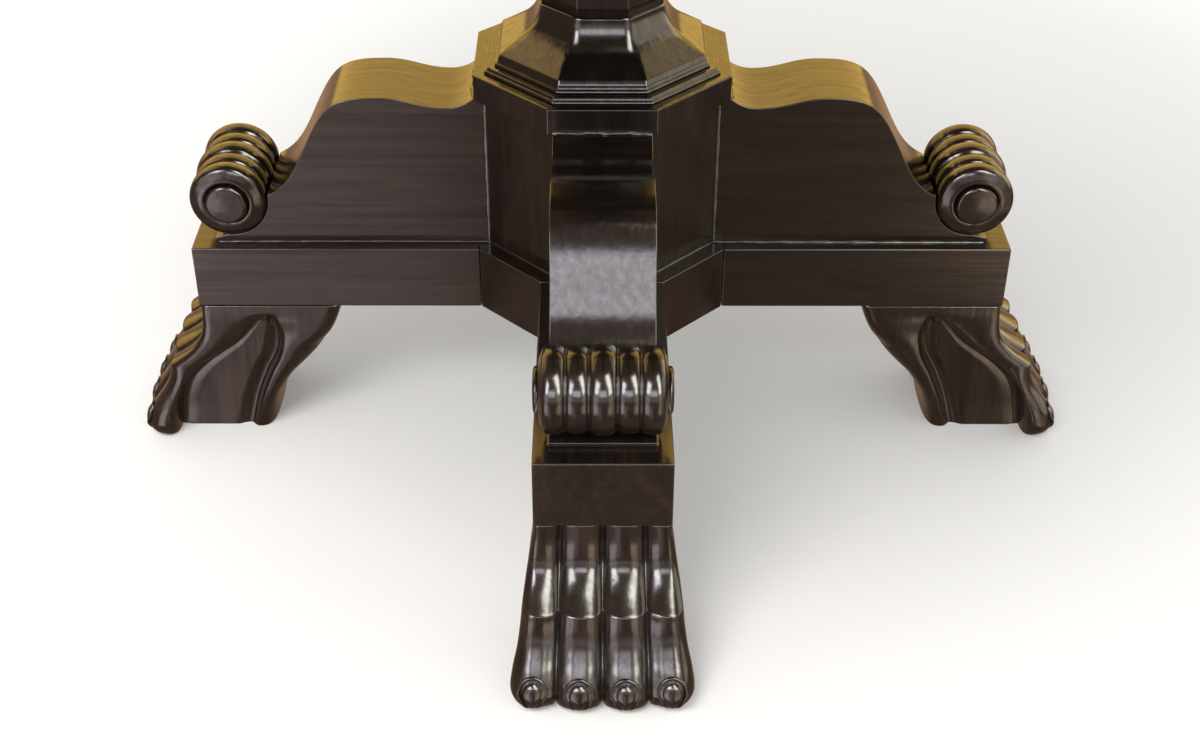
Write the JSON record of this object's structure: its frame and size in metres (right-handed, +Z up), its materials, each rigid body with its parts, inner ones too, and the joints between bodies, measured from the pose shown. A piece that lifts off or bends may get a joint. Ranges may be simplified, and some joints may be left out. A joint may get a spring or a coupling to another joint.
{
  "type": "round pedestal table",
  "caption": "Round-topped table on an octagonal pedestal, with four rails, scroll brackets, reeded rolls and carved paw feet.",
  "frame": {"origin": "on the floor, under the column's axis, at the centre of the four paws", "axes": "+Z up along the column; the front paw points along -Y and the right paw along +X"},
  "size_m": [1.22, 1.22, 0.762],
  "materials": {
    "ebonised_wood": "satin-gloss dark espresso stain over carved hardwood, rubbed on its edges",
    "inner_wood": "plain planed hardwood, unstained, hidden under the top and inside joints",
    "zinc_steel": "zinc-plated steel"
  },
  "bodies": {
    "root": {"hub_block": "ebonised_wood", "rail_front": "ebonised_wood", "bracket_front": "ebonised_wood", "scroll_roll_front": "ebonised_wood", "scroll_button_front_a": "ebonised_wood", "scroll_button_front_b": "ebonised_wood", "paw_front": "ebonised_wood", "paw_dowel_front": "inner_wood", "top_screw_front": "zinc_steel", "rail_right": "ebonised_wood", "bracket_right": "ebonised_wood", "scroll_roll_right": "ebonised_wood", "scroll_button_right_a": "ebonised_wood", "scroll_button_right_b": "ebonised_wood", "paw_right": "ebonised_wood", "paw_dowel_right": "inner_wood", "top_screw_right": "zinc_steel", "rail_back": "ebonised_wood", "bracket_back": "ebonised_wood", "scroll_roll_back": "ebonised_wood", "scroll_button_back_a": "ebonised_wood", "scroll_button_back_b": "ebonised_wood", "paw_back": "ebonised_wood", "paw_dowel_back": "inner_wood", "top_screw_back": "zinc_steel", "rail_left": "ebonised_wood", "bracket_left": "ebonised_wood", "scroll_roll_left": "ebonised_wood", "scroll_button_left_a": "ebonised_wood", "scroll_button_left_b": "ebonised_wood", "paw_left": "ebonised_wood", "paw_dowel_left": "inner_wood", "top_screw_left": "zinc_steel", "body_stave_right": "ebonised_wood", "body_stave_back_right": "ebonised_wood", "body_stave_back": "ebonised_wood", "body_stave_back_left": "ebonised_wood", "body_stave_left": "ebonised_wood", "body_stave_front_left": "ebonised_wood", "body_stave_front": "ebonised_wood", "body_stave_front_right": "ebonised_wood", "cap_slab": "ebonised_wood", "cap_moulding_lower": "ebonised_wood", "cap_moulding_upper": "ebonised_wood", "column_foot": "ebonised_wood", "column_shaft": "ebonised_wood", "column_neck": "ebonised_wood", "column_head": "ebonised_wood", "mounting_plate": "inner_wood", "bearer_long": "inner_wood", "bearer_cross": "inner_wood", "top_panel": "ebonised_wood", "top_rim": "ebonised_wood", "tie_rod": "zinc_steel", "tie_rod_nut_lower": "zinc_steel", "tie_rod_washer_lower": "zinc_steel", "tie_rod_nut_upper": "zinc_steel", "tie_rod_washer_upper": "zinc_steel"}
  },
  "joints": []
}
